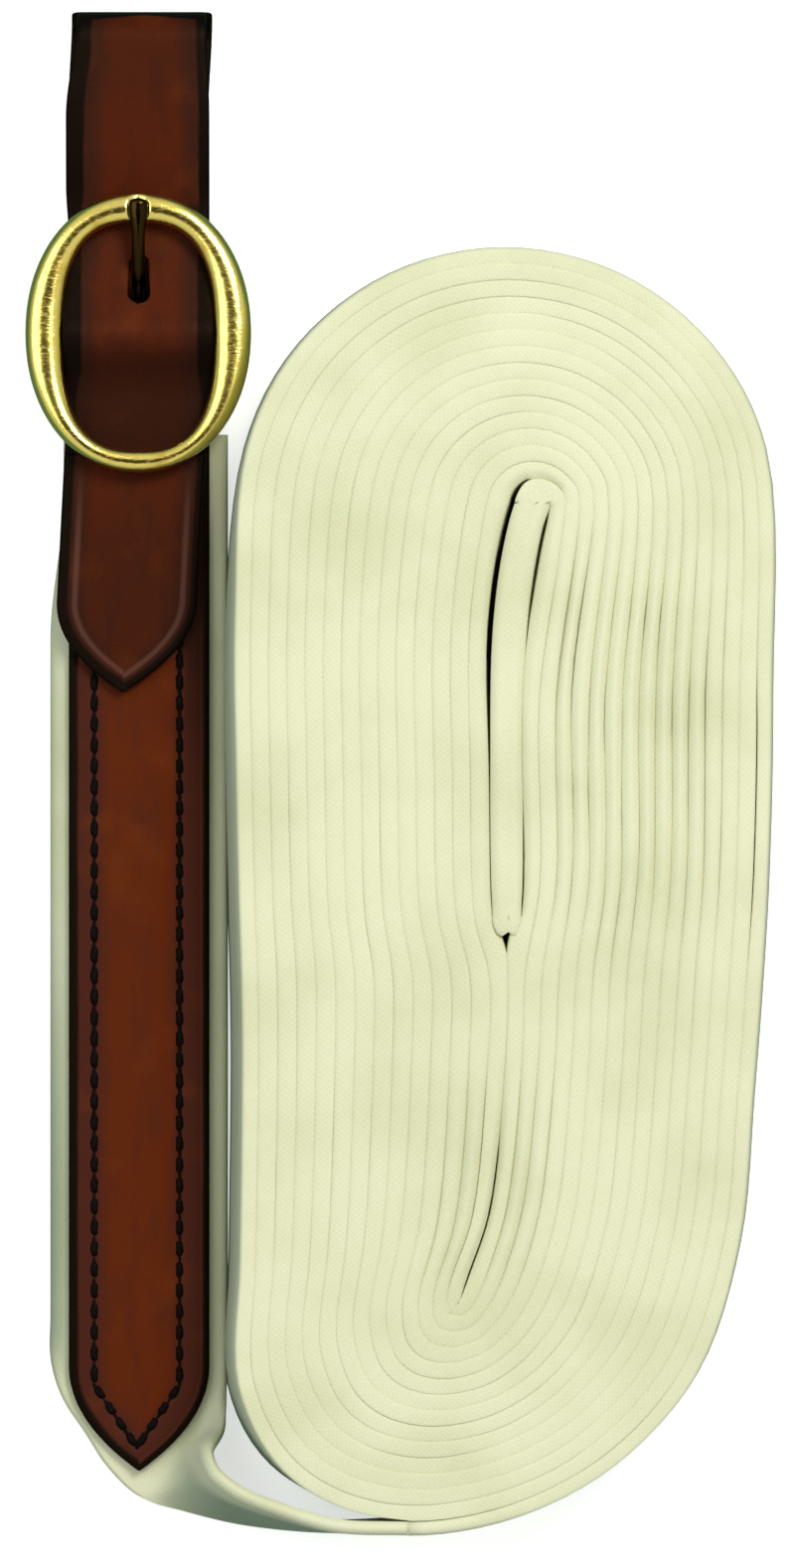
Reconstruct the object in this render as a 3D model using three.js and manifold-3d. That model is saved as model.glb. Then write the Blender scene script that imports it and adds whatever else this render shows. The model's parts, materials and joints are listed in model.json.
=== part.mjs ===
// A cotton-web lunge line with a bridle-leather buckle loop, wound up for storage.
// Millimetres, +Z up. The roll stands on the edges of its web; the leather lies flat beside it,
// pointing along +Y. The origin is under the middle of the whole object.
import * as THREE from 'three';
import { mergeVertices } from 'three/addons/utils/BufferGeometryUtils.js';
import Module from 'manifold-3d';

const wasm = await Module();
wasm.setup();

// ---------------------------------------------------------------- driving dimensions
const GAP = 0.3; // clearance between pieces that touch

const WEB_WIDTH = 31.75; // 1 1/4 inch cotton web
const WEB_THICK = 2.5;
const TURNS = 14.5; // full turns of the roll outside the turned-back end
const SAMPLES_PER_TURN = 36;
const END_FOLD_BOTTOM = -26; // the web's inner end is turned back from here ...
const END_FOLD_TOP = 46; // ... to here

const STRAP_WIDTH = 25.4; // 1 inch bridle leather
const STRAP_THICK = 2.2;
const TAB_THICK = 1.8;
const LEATHER_X = -46.5; // middle of the leather and of the web under it

const TAB_TIP_Y = -126.1;
const TAB_SHOULDER_Y = -107;
const BACK_TIP_Y = -125;
const BILLET_TIP_Y = 14.4;
const BILLET_SHOULDER_Y = 31;
const BILLET_SPLIT_Y = 48; // where the free end of the billet starts to flex
const BILLET_DRIFT = 0.052; // sideways shift per mm below the buckle
const BILLET_DRIFT_FROM_Y = 72;
const TURN_BACK_Y = 62.5; // end of the tab's turned-back ply
const TONGUE_SLOT_Y = [71, 84]; // the opening in the tab that the tongue comes through
const WEB_END_Y = 61;

const HOLE_Y = [84.6, 93.8]; // the tongue's hole in the strap, elongated
const HOLE_HALF = 1.75;

const FOLD_TOP_Y = 137.3;
const FOLD_INNER_GAP = 6; // free height inside the leather loop at its fold

const BAR_Y = 78.9; // buckle centre bar
const BAR_RADIUS = 2;
const CREST_LEAVES = 125; // angle round the bar where both leathers leave it, degrees
const FRAME_X = -46.6;
const FRAME_OUTER = { x: 20.35, y: 25.3, power: 2.1 };
const FRAME_INNER = { x: 13.6, y: 20.6, power: 2.7, shiftY: -0.7 };
const NOTCH = { radius: 2.4, depth: 1 }; // where the tongue's tip rests on the top bar
const FRAME_HEIGHT = 4.5;
const FRAME_LIFT = 1.2; // room under the lower bar, which the frame tilts into
const TONGUE_WIDTH = 2.4;
const TONGUE_TIP_WIDTH = 3.4;
const TONGUE_HALF_HEIGHT = 1;

const STITCH_PITCH = 3.8;
const STITCH_ROW_X = 7.7; // each row, from the middle of the leather
const STITCH_SHIFT_X = -0.4;
const STITCH_TOP_Y = 56;
const STITCH_CORNER_Y = -110.5;
const STITCH_TIP_Y = -121.8;
const THREAD_HALF = 0.32;
const GROOVE = { width: 1.4, depth: 1.15 };

// ---------------------------------------------------------------- heights, from the table up
const backMid = STRAP_THICK / 2;
const webMid = STRAP_THICK + GAP + WEB_THICK / 2;
const webTop = webMid + WEB_THICK / 2;
const tabMid = webTop + GAP + TAB_THICK / 2;
const tabTop = tabMid + TAB_THICK / 2;
const billetMid = tabTop + GAP + STRAP_THICK / 2;
const turnBackMid = STRAP_THICK + GAP + TAB_THICK / 2;
const barZ = turnBackMid + TAB_THICK / 2 + GAP + BAR_RADIUS;
const chapeArc = BAR_RADIUS + GAP + TAB_THICK / 2; // radius of the tab's middle round the bar
const crestMid = barZ + chapeArc + TAB_THICK / 2 + GAP + STRAP_THICK / 2;
const foldArc = (FOLD_INNER_GAP + STRAP_THICK) / 2;
const foldY = FOLD_TOP_Y - foldArc - STRAP_THICK / 2;
const loopFrontMid = backMid + 2 * foldArc;
const underTopBar = STRAP_THICK + 3 + STRAP_THICK / 2;

// ---------------------------------------------------------------- geometry helpers
/** An indexed closed mesh whose faces point out, whichever way round its triangles came. */
function closedMesh(positions, triangles) {
  let volume = 0;
  const corner = (i) => new THREE.Vector3().fromArray(positions, 3 * i);
  for (let i = 0; i < triangles.length; i += 3) {
    const [a, b, c] = [corner(triangles[i]), corner(triangles[i + 1]), corner(triangles[i + 2])];
    volume += a.dot(b.cross(c));
  }
  const geometry = new THREE.BufferGeometry();
  geometry.setAttribute('position', new THREE.Float32BufferAttribute(positions, 3));
  geometry.setIndex(volume > 0 ? triangles : [...triangles].reverse());
  return geometry;
}

/** Joins rings of equal length into a skin. Open ends are capped with fans, so rings are convex. */
function skin(rings, closed = false) {
  const size = rings[0].length;
  const positions = rings.flat().flatMap((p) => [p.x, p.y, p.z]);
  const triangles = [];
  const spans = closed ? rings.length : rings.length - 1;
  for (let i = 0; i < spans; i++) {
    const here = i * size;
    const next = ((i + 1) % rings.length) * size;
    for (let j = 0; j < size; j++) {
      const k = (j + 1) % size;
      triangles.push(here + j, here + k, next + k, here + j, next + k, next + j);
    }
  }
  const last = (rings.length - 1) * size;
  for (let j = 1; j < size - 1 && !closed; j++) {
    triangles.push(0, j + 1, j, last, last + j, last + j + 1);
  }
  return closedMesh(positions, triangles);
}

/** Sweeps a section along a path. Section points are [across, along up], mitred at each corner. */
function sweep(path, section, up, closed = false) {
  const count = path.length;
  const rings = path.map((point, i) => {
    const before = closed ? path[(i + count - 1) % count] : path[Math.max(i - 1, 0)];
    const after = closed ? path[(i + 1) % count] : path[Math.min(i + 1, count - 1)];
    const into = point.clone().sub(before);
    const out = after.clone().sub(point);
    if (into.lengthSq() === 0) into.copy(out);
    if (out.lengthSq() === 0) out.copy(into);
    const tangent = into.normalize().add(out.normalize());
    const mitre = 2 / tangent.length();
    const across = up.clone().cross(tangent).normalize();
    const shape = typeof section === 'function' ? section(i) : section;
    return shape.map(([a, b]) =>
      point.clone().addScaledVector(across, a * mitre).addScaledVector(up, b));
  });
  return skin(rings, closed);
}

const rectangle = (a0, a1, b0, b1) => [[a0, b0], [a1, b0], [a1, b1], [a0, b1]];

function oval(halfAcross, halfUp, sides) {
  return Array.from({ length: sides }, (_, i) => {
    const angle = (2 * Math.PI * i) / sides;
    return [halfAcross * Math.cos(angle), halfUp * Math.sin(angle)];
  });
}

/** Points of an arc in a plane, as [u, v] pairs, with angles in degrees. */
function arc(u, v, radius, from, to, count) {
  return Array.from({ length: count }, (_, i) => {
    const angle = THREE.MathUtils.degToRad(from + ((to - from) * i) / (count - 1));
    return [u + radius * Math.cos(angle), v + radius * Math.sin(angle)];
  });
}

function solid(geometry) {
  const bare = geometry.clone();
  bare.deleteAttribute('normal');
  bare.deleteAttribute('uv');
  const merged = mergeVertices(bare, 1e-5);
  return new wasm.Manifold(new wasm.Mesh({
    numProp: 3,
    vertProperties: new Float32Array(merged.attributes.position.array),
    triVerts: new Uint32Array(merged.index.array),
  }));
}

function fromSolid(body) {
  const mesh = body.getMesh();
  return closedMesh([...mesh.vertProperties], [...mesh.triVerts]);
}

/** A vertical prism on a plan outline. */
function prism(shape, low, high) {
  const options = { depth: high - low, bevelEnabled: false, curveSegments: 8 };
  return new THREE.ExtrudeGeometry(shape, options).translate(0, 0, low);
}

function box(x0, x1, y0, y1, z0, z1) {
  return new THREE.BoxGeometry(x1 - x0, y1 - y0, z1 - z0)
    .translate((x0 + x1) / 2, (y0 + y1) / 2, (z0 + z1) / 2);
}

const X = new THREE.Vector3(1, 0, 0);
const Y = new THREE.Vector3(0, 1, 0);
const Z = new THREE.Vector3(0, 0, 1);
const smooth = (points, count) => new THREE.CatmullRomCurve3(points).getPoints(count);

// ---------------------------------------------------------------- the rolled web
// The outermost and the innermost turn, matched point for point, clockwise from the bottom.
const rollOutside = [
  [2, -135.65], [-12.5, -132.6], [-22.8, -125.2], [-29.8, -111],
  [-29.6, -88], [-29.2, -52], [-29.3, -36], [-29.4, -24], [-29.8, 0], [-29.9, 28],
  ...arc(19, 46, 48.3, 165, 15, 7),
  [66.9, 14], [66.1, -18], [65, -36], [63.2, -58], [60.6, -84.5],
  [52.9, -107.6], [38.5, -123.5], [21, -132.6],
];
const rollCore = [
  [11.6, -94.6], [11.2, -94.3], [11.5, -93], [13.2, -89],
  [17.4, -79], [20.4, -52], [20.9, -37], [18.1, -26], [17.5, 0], [17.5, 26],
  ...arc(24.8, 47.5, 3.8, 165, 15, 7),
  [23.5, 14], [23.5, -20], [20.7, -36], [20.1, -50], [17.2, -77],
  [14, -88], [12.8, -92], [12.1, -94.2],
];
const loop = (points) => new THREE.CatmullRomCurve3(points.map(([x, y]) =>
  new THREE.Vector3(x, y, 0)), true);
const outsideCurve = loop(rollOutside);
const coreCurve = loop(rollCore);
// Turns are counted from the bottom of the roll.
const FIRST_TURN = 0.5; // where the spiral lies on the core loop
const SPIRAL_START = 0.66; // where the web itself joins the spiral, from the turned-back end

function rollPoint(turn) {
  const share = (turn - FIRST_TURN) / TURNS;
  const place = turn % 1;
  return coreCurve.getPoint(place).lerp(outsideCurve.getPoint(place), share);
}

/** Middle line of the two plies of the turned-back end, at height y up the core. */
const endCentre = new THREE.CatmullRomCurve3([
  [20, END_FOLD_BOTTOM], [19.7, 3], [19.9, 24.6], [21.3, 37], [23.5, END_FOLD_TOP],
].map(([x, y]) => new THREE.Vector3(x, y, 0)));
const plyOffset = (WEB_THICK + GAP) / 2;

function webRollPath() {
  const middle = endCentre.getPoints(8);
  const shifted = (dx) => middle.map((p) => new THREE.Vector3(p.x + dx, p.y, 0));
  const bottom = middle[0];
  const turnBack = arc(bottom.x, bottom.y, plyOffset, -30, -150, 4)
    .map(([x, y]) => new THREE.Vector3(x, y, 0));
  const overTop = arc(25.2, 48, 2.9, 165, 15, 6).map(([x, y]) => new THREE.Vector3(x, y, 0));
  const firstSample = Math.ceil(SPIRAL_START * SAMPLES_PER_TURN);
  const lastSample = (FIRST_TURN + TURNS) * SAMPLES_PER_TURN;
  const spiral = [];
  for (let i = firstSample; i <= lastSample; i++) spiral.push(rollPoint(i / SAMPLES_PER_TURN));
  return [...shifted(plyOffset).reverse(), ...turnBack, ...shifted(-plyOffset), ...overTop,
    ...spiral];
}

function webRoll() {
  return sweep(webRollPath(), rectangle(-WEB_THICK / 2, WEB_THICK / 2, 0, WEB_WIDTH), Z);
}

/** A closed run of thread on the face of the turned-back end, in the open slit beside it. */
function endStitching() {
  const faceOffset = plyOffset + WEB_THICK / 2 + GAP + THREAD_HALF;
  const [low, high, margin] = [0.45, 0.8, 5];
  const along = (share) => endCentre.getPoint(share).add(new THREE.Vector3(-faceOffset, 0, 0));
  const shares = Array.from({ length: 7 }, (_, i) => low + ((high - low) * i) / 6);
  const up = shares.map((share) => along(share).setZ(margin));
  const down = shares.toReversed().map((share) => along(share).setZ(WEB_WIDTH - margin));
  return sweep([...up, ...down], oval(THREAD_HALF, THREAD_HALF, 4), X, true);
}

// ---------------------------------------------------------------- the web's outer end
// Left and right edge of the web, from the buckle down, through the quarter twist to the roll.
// cup shapes the climb across the web: 1 is straight, more stays low and climbs near the right edge.
const leadLeft = LEATHER_X - WEB_WIDTH / 2;
const leadRight = LEATHER_X + WEB_WIDTH / 2;
const [hingeX, hingeY] = rollOutside[0];
const leadStations = [
  { left: [leadLeft, -98, webMid], right: [leadRight, -98, webMid], cup: 8 },
  { left: [leadLeft, -106, webMid], right: [leadRight, -107, webMid], cup: 8 },
  { left: [-60.6, -112.5, webMid], right: [-30.8, -112.7, 4.3], cup: 16 },
  { left: [-56.2, -119.4, webMid], right: [-31.5, -118.3, 9.8], cup: 20 },
  { left: [-52.4, -125.2, webMid], right: [-33.6, -122.4, 20], cup: 9 },
  { left: [-46.6, -130.6, 3], right: [-32.2, -125.8, 25.5], cup: 2.5 },
  { left: [-38.2, -132.8, 1], right: [-27.9, -129.2, 28.6], cup: 1.6 },
  { left: [-27, -135, 0.5], right: [-20.5, -132.2, 30.6], cup: 1.2 },
  { left: [-13, -136.2, 0.2], right: [-10.5, -135.1, 31.5], cup: 1 },
  { left: [hingeX - GAP, hingeY, 0], right: [hingeX - GAP, hingeY, WEB_WIDTH], cup: 1 },
];
const LEAD_ROWS = 27;
const LEAD_COLUMNS = [0, 0.25, 0.5, 0.65, 0.75, 0.83, 0.9, 0.96, 1];

function webLead() {
  const edge = (key) => new THREE.CatmullRomCurve3(leadStations.map((s) =>
    new THREE.Vector3(...s[key])));
  const [left, right] = [edge('left'), edge('right')];
  const cupAt = (t) => {
    const place = t * (leadStations.length - 1);
    const i = Math.min(Math.floor(place), leadStations.length - 2);
    return THREE.MathUtils.lerp(leadStations[i].cup, leadStations[i + 1].cup, place - i);
  };
  const rows = Array.from({ length: LEAD_ROWS + 1 }, (_, i) => i / LEAD_ROWS);
  const twist = rows.map((t) => LEAD_COLUMNS.map((v) => {
    const [a, b] = [left.getPoint(t), right.getPoint(t)];
    const height = a.z + (b.z - a.z) * v ** cupAt(t);
    return a.lerp(b, v).setZ(height);
  }));
  const upperEnd = twist[0].map((p) => p.clone().setY(WEB_END_Y));
  return slab([upperEnd, ...twist], WEB_THICK);
}

/** A closed sheet of even thickness on a grid of points of its middle surface. */
function slab(grid, thickness) {
  const [rows, columns] = [grid.length, grid[0].length];
  const at = (i, j) => grid[THREE.MathUtils.clamp(i, 0, rows - 1)][
    THREE.MathUtils.clamp(j, 0, columns - 1)];
  const offset = (i, j, side) => {
    const along = at(i + 1, j).clone().sub(at(i - 1, j));
    const across = at(i, j + 1).clone().sub(at(i, j - 1));
    return at(i, j).clone().addScaledVector(along.cross(across).normalize(), side * thickness / 2);
  };
  const rings = grid.map((row, i) => [
    ...row.map((_, j) => offset(i, j, 1)),
    ...row.map((_, j) => offset(i, columns - 1 - j, -1)),
  ]);
  const positions = rings.flat().flatMap((p) => [p.x, p.y, p.z]);
  const size = 2 * columns;
  const triangles = [];
  for (let i = 0; i < rows - 1; i++) {
    for (let j = 0; j < size; j++) {
      const [a, b] = [i * size + j, i * size + ((j + 1) % size)];
      triangles.push(a, b, b + size, a, b + size, a + size);
    }
  }
  const last = (rows - 1) * size;
  for (let j = 0; j < columns - 1; j++) {
    const k = size - 1 - j;
    triangles.push(j, k, j + 1, j + 1, k, k - 1);
    triangles.push(last + j, last + j + 1, last + k, last + j + 1, last + k - 1, last + k);
  }
  return closedMesh(positions, triangles);
}

// ---------------------------------------------------------------- leather
/** Plan outline of a strap with an ogive point at its lower end. */
function pointedStrap(tipY, shoulderY, topY) {
  const half = STRAP_WIDTH / 2;
  const fullness = shoulderY + 0.53 * (tipY - shoulderY);
  const shape = new THREE.Shape();
  shape.moveTo(-half, topY);
  shape.lineTo(-half, shoulderY);
  shape.quadraticCurveTo(-half, fullness, 0, tipY);
  shape.quadraticCurveTo(half, fullness, half, shoulderY);
  shape.lineTo(half, topY);
  shape.closePath();
  return shape;
}

/** A strap that follows a side-view line of [y, z] pairs, centred on x = 0. */
function strapAlong(line, thickness) {
  const path = line.map(([y, z]) => new THREE.Vector3(0, y, z));
  const half = STRAP_WIDTH / 2;
  return sweep(path, rectangle(-thickness / 2, thickness / 2, -half, half), X);
}

const stitchPlan = [
  [-STITCH_ROW_X, STITCH_TOP_Y], [-STITCH_ROW_X, STITCH_CORNER_Y], [0, STITCH_TIP_Y],
  [STITCH_ROW_X, STITCH_CORNER_Y], [STITCH_ROW_X, STITCH_TOP_Y],
].map(([x, y]) => [x + STITCH_SHIFT_X, y]);

/** The trench that one side's thread lies in, from z0 to z1. */
function stitchGroove(z0, z1) {
  const spread = GAP + THREAD_HALF; // the groove runs on past the thread's ends
  const path = stitchPlan.map(([x, y]) =>
    new THREE.Vector3(x, y === STITCH_TOP_Y ? y + spread : y, 0));
  return solid(sweep(path, rectangle(-GROOVE.width / 2, GROOVE.width / 2, z0, z1), Z));
}

/** One thread, rising in the middle of each stitch and sinking at each hole. */
function stitchThread(midZ, holeZ) {
  const corners = stitchPlan.map(([x, y]) => new THREE.Vector3(x, y, 0));
  const points = [];
  for (let i = 0; i < corners.length - 1; i++) {
    const length = corners[i].distanceTo(corners[i + 1]);
    const steps = 2 * Math.round(length / STITCH_PITCH);
    for (let j = i === 0 ? 0 : 1; j <= steps; j++) {
      points.push(corners[i].clone().lerp(corners[i + 1], j / steps).setZ(j % 2 ? midZ : holeZ));
    }
  }
  return sweep(points, oval(THREAD_HALF, THREAD_HALF, 4), Z).translate(LEATHER_X, 0, 0);
}

const inYZ = (pairs) => pairs.map(([y, z]) => new THREE.Vector3(0, y, z));
const asPairs = (points) => points.map((p) => [p.y, p.z]);

function frontTab() {
  const wrap = arc(BAR_Y, barZ, chapeArc, CREST_LEAVES, -90, 10);
  const rise = asPairs(smooth(inYZ([
    [67, tabMid], [70.5, tabMid + 0.12], [73.6, tabMid + 1], wrap[0],
  ]), 6)).slice(0, -1);
  const line = [[TAB_TIP_Y - 2, tabMid], ...rise, ...wrap, [TURN_BACK_Y, turnBackMid]];
  const outline = solid(prism(pointedStrap(TAB_TIP_Y, TAB_SHOULDER_Y, 100), -5, 40));
  const slotHalf = TONGUE_TIP_WIDTH / 2 + 1;
  const tongueSlot = solid(box(-slotHalf, slotHalf, ...TONGUE_SLOT_Y, -5, 40));
  const body = solid(strapAlong(line, TAB_THICK)).intersect(outline).subtract(tongueSlot)
    .subtract(stitchGroove(tabTop - GROOVE.depth, tabTop + 2));
  return fromSolid(body).translate(LEATHER_X, 0, 0);
}

/** Side view of the strap's front run, from the fold at the top down to the billet's tip. */
function frontRun() {
  const down = asPairs(smooth(inYZ([
    [foldY - 2, loopFrontMid], [120, loopFrontMid - 0.1], [111, loopFrontMid - 1.2],
    [topBarY + 1, underTopBar], [98, underTopBar + 0.05], [94, underTopBar + 0.5],
    [89.5, underTopBar + 1.9], [85.3, underTopBar + 3.6],
  ]), 20));
  const crest = arc(BAR_Y, barZ, crestMid - barZ, 60, CREST_LEAVES, 6);
  const level = asPairs(smooth(inYZ([
    crest.at(-1), [72.5, billetMid + 0.9], [69, billetMid + 0.1], [65, billetMid],
  ]), 6)).slice(1);
  return [...down, ...crest, ...level];
}

/** Below the buckle the billet drifts a little to the left of the tab under it. */
function driftBillet(geometry, onlyAbove) {
  const position = geometry.attributes.position;
  for (let i = 0; i < position.count; i++) {
    const below = BILLET_DRIFT_FROM_Y - position.getY(i);
    if (below <= 0 || position.getZ(i) < onlyAbove) continue;
    position.setX(i, position.getX(i) - below * BILLET_DRIFT);
  }
  return geometry;
}

function loopStrap() {
  const fold = arc(foldY, backMid + foldArc, foldArc, -90, 90, 9);
  const line = [[BACK_TIP_Y - 2, backMid], ...fold, ...frontRun(),
    [BILLET_SPLIT_Y + GAP / 2, billetMid]];
  const strap = driftBillet(strapAlong(line, STRAP_THICK), tabTop);
  const lowerPly = solid(prism(pointedStrap(BACK_TIP_Y, TAB_SHOULDER_Y, 150), -5, tabTop));
  const upperPly = solid(box(-30, 30, 0, 150, tabTop, 40));
  const hole = new THREE.Shape();
  hole.absarc(0, HOLE_Y[0] + HOLE_HALF, HOLE_HALF, Math.PI, 2 * Math.PI);
  hole.absarc(0, HOLE_Y[1] - HOLE_HALF, HOLE_HALF, 0, Math.PI);
  const body = solid(strap).intersect(lowerPly.add(upperPly))
    .subtract(solid(prism(hole, underTopBar - STRAP_THICK, 40)))
    .subtract(stitchGroove(-2, GROOVE.depth));
  return fromSolid(body).translate(LEATHER_X, 0, 0);
}

function billetEnd() {
  const shape = pointedStrap(BILLET_TIP_Y, BILLET_SHOULDER_Y, BILLET_SPLIT_Y - GAP / 2);
  const [low, high] = [billetMid - STRAP_THICK / 2, billetMid + STRAP_THICK / 2];
  return driftBillet(prism(shape, low, high), low - 1).translate(LEATHER_X, 0, 0);
}

// ---------------------------------------------------------------- buckle
const barOffset = FRAME_OUTER.y - (FRAME_OUTER.y - FRAME_INNER.y) / 2; // bar centre from pivot
const topBarZ = underTopBar + STRAP_THICK / 2 + GAP + FRAME_HEIGHT / 2;
const lowBarZ = billetMid + STRAP_THICK / 2 + GAP + FRAME_LIFT + FRAME_HEIGHT / 2;
const frameTilt = -Math.asin((lowBarZ - topBarZ) / (2 * barOffset));
const frameDrop = ((lowBarZ + topBarZ) / 2 - barZ) / Math.cos(frameTilt);
const topBarY = BAR_Y + barOffset * Math.cos(frameTilt) - frameDrop * Math.sin(frameTilt);

function squareOval(size, angle) {
  const bend = (value) => Math.sign(value) * Math.abs(value) ** (2 / size.power);
  return new THREE.Vector3(
    size.x * bend(Math.cos(angle)), size.y * bend(Math.sin(angle)) + (size.shiftY ?? 0), 0);
}

/** The frame stands about its own centre bar: the bar lies at the origin, along X. */
function buckleFrame() {
  const steps = 40;
  const rings = Array.from({ length: steps }, (_, i) => {
    const angle = (2 * Math.PI * i) / steps;
    const outer = squareOval(FRAME_OUTER, angle);
    const inner = squareOval(FRAME_INNER, angle);
    const middle = outer.clone().add(inner).divideScalar(2).setZ(frameDrop);
    const across = outer.sub(inner);
    return oval(0.5, FRAME_HEIGHT / 2, 10).map(([a, b]) =>
      middle.clone().addScaledVector(across, a).add(new THREE.Vector3(0, 0, b)));
  });
  const postX = FRAME_INNER.x + BAR_RADIUS;
  const barPath = [
    [-postX, frameDrop], [-postX, 1.2], [-postX + 1.2, 0], [postX - 1.2, 0], [postX, 1.2],
    [postX, frameDrop],
  ].map(([x, z]) => new THREE.Vector3(x, 0, z));
  const bar = sweep(barPath, oval(BAR_RADIUS, BAR_RADIUS, 12), Y);
  const notch = new THREE.CylinderGeometry(NOTCH.radius, NOTCH.radius, 8, 14)
    .translate(0, barOffset, frameDrop + FRAME_HEIGHT / 2 + NOTCH.radius - NOTCH.depth);
  return fromSolid(solid(skin(rings, true)).add(solid(bar)).subtract(solid(notch)));
}

/** The tongue, also about the centre bar, in the frame's tilted axes. */
function buckleTongue() {
  const eyeOuter = BAR_RADIUS + GAP + 1.1;
  const eye = new THREE.Shape().absarc(0, 0, eyeOuter, 0, 2 * Math.PI);
  eye.holes.push(new THREE.Path().absarc(0, 0, BAR_RADIUS + GAP, 0, 2 * Math.PI, true));
  const options = { depth: TONGUE_TIP_WIDTH, bevelEnabled: false, curveSegments: 20 };
  const ring = new THREE.ExtrudeGeometry(eye, options)
    .translate(0, 0, -TONGUE_TIP_WIDTH / 2)
    .rotateY(Math.PI / 2);
  const tipZ = topBarZ + FRAME_HEIGHT / 2 - NOTCH.depth + GAP + TONGUE_HALF_HEIGHT;
  const line = smooth(inYZ([
    [BAR_Y + 2.9, barZ + 0.1], [BAR_Y + 6, barZ + 0.4], [BAR_Y + 9, barZ + 1.3],
    [BAR_Y + 12.2, barZ + 3.3], [BAR_Y + 16, barZ + 5.2], [topBarY - 2.5, tipZ],
    [topBarY + 1.4, tipZ],
  ]), 12);
  const share = (i) => Math.max(0, (i - 9) / 3);
  const shank = sweep(line, (i) => {
    const half = THREE.MathUtils.lerp(TONGUE_WIDTH, TONGUE_TIP_WIDTH, share(i)) / 2;
    return oval(TONGUE_HALF_HEIGHT, half, 10);
  }, X).translate(0, -BAR_Y, -barZ).rotateX(-frameTilt);
  return fromSolid(solid(ring).add(solid(shank)));
}

// ---------------------------------------------------------------- assembly
const cotton = new THREE.MeshStandardMaterial({ color: 0xe4e4c0, roughness: 0.95 });
const leather = new THREE.MeshStandardMaterial({ color: 0x5a2412, roughness: 0.55 });
const brass = new THREE.MeshStandardMaterial({ color: 0xd9b43a, roughness: 0.2, metalness: 1 });
const thread = new THREE.MeshStandardMaterial({ color: 0x1c1210, roughness: 0.8 });

const group = new THREE.Group();
function place(name, geometry, material, parent = group) {
  const mesh = new THREE.Mesh(geometry, material.clone());
  mesh.name = name;
  parent.add(mesh);
  return mesh;
}

place('web_roll', webRoll(), cotton);
place('end_stitching', endStitching(), thread);
place('web_lead', webLead(), cotton);
place('front_tab', frontTab(), leather);
place('loop_strap', loopStrap(), leather);
place('billet_end', billetEnd(), leather);

const threadMid = tabTop - THREAD_HALF - 0.03;
place('front_stitching', stitchThread(threadMid, threadMid - 0.2), thread);
place('back_stitching', stitchThread(THREAD_HALF + 0.03, THREAD_HALF + 0.23), thread);

const buckle = new THREE.Group();
buckle.position.set(FRAME_X, BAR_Y, barZ);
buckle.rotation.x = frameTilt;
group.add(buckle);
place('buckle_frame', buckleFrame(), brass, buckle);
place('buckle_tongue', buckleTongue(), brass, buckle);

// The origin goes under the middle of the whole object.
group.updateMatrixWorld(true);
const bounds = new THREE.Box3().setFromObject(group, true);
group.position.set(-(bounds.min.x + bounds.max.x) / 2, -(bounds.min.y + bounds.max.y) / 2,
  -bounds.min.z);
group.updateMatrixWorld(true);

export default group;
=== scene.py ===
"""Looks of a cotton-web lunge line with a bridle-leather buckle loop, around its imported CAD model.

Lengths are in millimetres while a shape is worked out, as in the CAD drawing, and become metres in the
row frame when its mesh is made.
"""

import json
import math

import bpy
import numpy as np
from mathutils import Matrix, Vector, noise


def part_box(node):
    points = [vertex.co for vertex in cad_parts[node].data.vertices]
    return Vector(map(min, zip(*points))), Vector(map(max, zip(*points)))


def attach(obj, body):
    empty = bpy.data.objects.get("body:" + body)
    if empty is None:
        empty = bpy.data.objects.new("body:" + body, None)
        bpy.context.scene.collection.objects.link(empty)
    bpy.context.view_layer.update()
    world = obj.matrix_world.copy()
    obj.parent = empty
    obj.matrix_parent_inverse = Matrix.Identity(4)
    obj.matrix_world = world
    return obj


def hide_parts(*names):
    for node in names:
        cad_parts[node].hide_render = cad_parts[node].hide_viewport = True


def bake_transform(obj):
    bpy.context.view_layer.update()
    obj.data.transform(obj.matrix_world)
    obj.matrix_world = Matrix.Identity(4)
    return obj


MM = 0.001

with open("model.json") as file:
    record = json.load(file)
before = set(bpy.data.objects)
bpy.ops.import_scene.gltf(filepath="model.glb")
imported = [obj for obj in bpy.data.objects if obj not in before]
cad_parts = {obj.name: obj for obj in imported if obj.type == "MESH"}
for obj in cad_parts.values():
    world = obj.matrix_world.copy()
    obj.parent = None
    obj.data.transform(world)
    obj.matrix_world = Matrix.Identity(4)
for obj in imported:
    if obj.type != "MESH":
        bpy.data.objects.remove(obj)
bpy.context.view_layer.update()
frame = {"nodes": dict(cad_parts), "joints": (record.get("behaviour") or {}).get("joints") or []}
joints = {joint["name"]: joint for joint in frame["joints"]}

# ---------------------------------------------------------------- driving sizes, as in the CAD drawing
GAP = 0.3
STRAP_HALF = 12.7
LEATHER_X = -46.5  # middle of the leather in the drawing
TAB_TIP_Y = -126.1
TAB_SHOULDER_Y = -107
BACK_TIP_Y = -125
BILLET_TIP_Y = 14.4
BILLET_SHOULDER_Y = 31
BILLET_DRIFT = 0.052
BILLET_DRIFT_FROM_Y = 72
BAR_RADIUS = 2
CREST_LEAVES = 125  # angle round the bar where both leathers leave it, degrees
FOLD_INNER_GAP = 6
STRAP_LIFT = 3  # room between the back ply and the strap under the top bar
TURN_BACK_Y = 62.5  # end of the tab's turned-back ply
TONGUE_SLOT_Y = (71, 84)
TONGUE_SLOT_HALF = 2.7
HOLE_Y = (84.6, 93.8)  # the tongue's hole in the strap
HOLE_RADIUS = 2.0  # a little wider than in the CAD
STITCHED_TO_Y = 57.5
TIP_INSET = 0.12  # how far each point stops short of the CAD's

# The drawing's origin in the row frame, from the front tab's box.
tab_low, tab_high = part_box("front_tab")
ORIGIN = Vector(((tab_low.x + tab_high.x) / 2 - LEATHER_X * MM, tab_low.y - TAB_TIP_Y * MM, 0))

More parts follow.
